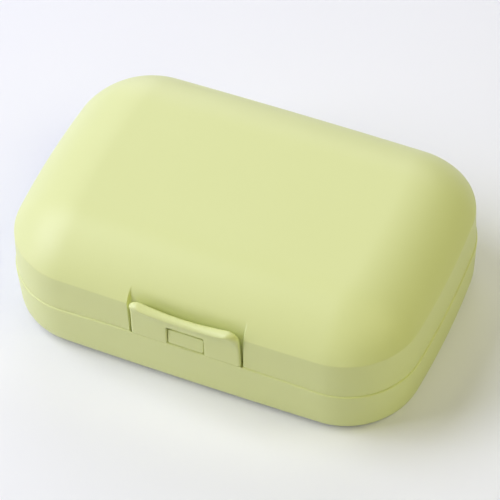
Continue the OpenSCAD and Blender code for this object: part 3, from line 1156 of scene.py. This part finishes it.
def larger(nodes, link, one, other):
    """Output of a Math node that gives the larger of two sockets."""
    node = nodes.new("ShaderNodeMath")
    node.operation = "MAXIMUM"
    link(one, node.inputs[0])
    link(other, node.inputs[1])
    return node.outputs[0]


def floor_material():
    """Matt paper; rays that reach the viewer see a painted cool glow over a warmer colour."""
    material, nodes, link, shader = new_material("paper")
    path = nodes.new("ShaderNodeLightPath").outputs
    mirrored = larger(nodes, link, path["Is Glossy Ray"], path["Is Transmission Ray"])
    seen = larger(nodes, link, path["Is Camera Ray"], mirrored)
    tone = nodes.new("ShaderNodeMix")
    tone.data_type = "RGBA"
    tone.inputs["A"].default_value = (*FLOOR_COLOUR, 1)
    tone.inputs["B"].default_value = (*FLOOR_SEEN, 1)
    link(seen, tone.inputs["Factor"])
    link(tone.outputs["Result"], shader.inputs["Base Color"])
    # The emission is painted light: a cool glow that lifts the blue of the shadow, though the
    # paper is no lamp.
    shader.inputs["Emission Color"].default_value = (*FLOOR_PAINTED_GLOW, 1)
    link(seen, shader.inputs["Emission Strength"])
    shader.inputs["Roughness"].default_value = 0.9
    shader.inputs["Specular IOR Level"].default_value = 0.2
    return material


floor_corners = [(x * FLOOR_REACH, y * FLOOR_REACH, FLOOR_Z) for x in (-1, 1) for y in (-1, 1)]
floor_mesh = bpy.data.meshes.new("floor")
floor_mesh.from_pydata(floor_corners, [], [(0, 2, 3, 1)])
floor = bpy.data.objects.new("floor", floor_mesh)
bpy.context.scene.collection.objects.link(floor)
floor.data.materials.append(floor_material())
print("floor of", 2 * FLOOR_REACH, "m square, facing", tuple(floor_mesh.polygons[0].normal))

# %% [markdown]
# ## The light
#
# The light in the photo is soft. Most of it is cool and comes from the left, at several
# heights, some comes from behind, and a dim, warm share comes back from the right. Nine
# square lamps stand in for that, all equally far from the box and aimed at its middle.
# Each has its direction seen from above, anticlockwise from +X, its height angle, its
# size, power and colour. The world is black, so the lamps alone draw the shadows.

# %% Hang the lamps
LAMP_DISTANCE = 1.2
AIM = Vector((0, 0, 0.02))
LAMPS = [
    ("window", 210, 36, 0.55, 6.99, (0.741, 0.749, 1.0)),
    ("window_top", 180, 58, 0.55, 5.54, (0.741, 0.779, 1.0)),
    ("window_side", 180, 36, 0.55, 3.19, (0.741, 0.719, 1.0)),
    ("window_sill", 210, 9, 0.3, 1.88, (1.0, 0.948, 0.862)),
    ("back_left", 120, 36, 0.55, 1.47, (0.741, 0.76, 1.0)),
    ("back_low", 120, 14, 0.55, 2.19, (0.863, 0.819, 1.0)),
    ("back", 90, 36, 0.55, 1.7, (0.882, 0.841, 1.0)),
    ("warm_wall", 0, 50, 0.8, 5.33, (1.0, 0.971, 0.567)),
    ("warm_front", 300, 50, 0.8, 1.92, (1.0, 0.956, 0.45)),
]


def area_lamp(name, direction, height_angle, size, watts, colour):
    """Square area lamp at LAMP_DISTANCE from the origin, aimed at the middle of the box."""
    turn, lift = np.radians(direction), np.radians(height_angle)
    level = np.cos(lift)
    data = bpy.data.lights.new(name, "AREA")
    data.shape = "SQUARE"
    data.size = size
    data.energy = watts
    data.color = colour
    lamp = bpy.data.objects.new(name, data)
    bpy.context.scene.collection.objects.link(lamp)
    place = Vector((level * np.cos(turn), level * np.sin(turn), np.sin(lift))) * LAMP_DISTANCE
    lamp.location = place
    lamp.rotation_mode = "QUATERNION"
    lamp.rotation_quaternion = (AIM - place).to_track_quat("-Z", "Y")


for lamp in LAMPS:
    area_lamp(*lamp)
world = bpy.data.worlds.new("room")
bpy.context.scene.world = world
world.use_nodes = True
world.node_tree.nodes["Background"].inputs["Strength"].default_value = 0.0
print(len(LAMPS), "lamps,", round(sum(lamp[4] for lamp in LAMPS), 1), "watts together")

# %% [markdown]
# ## The end
#
# The picture uses Blender's plain Standard view.

# %% Finish
bpy.context.scene.view_settings.view_transform = "Standard"
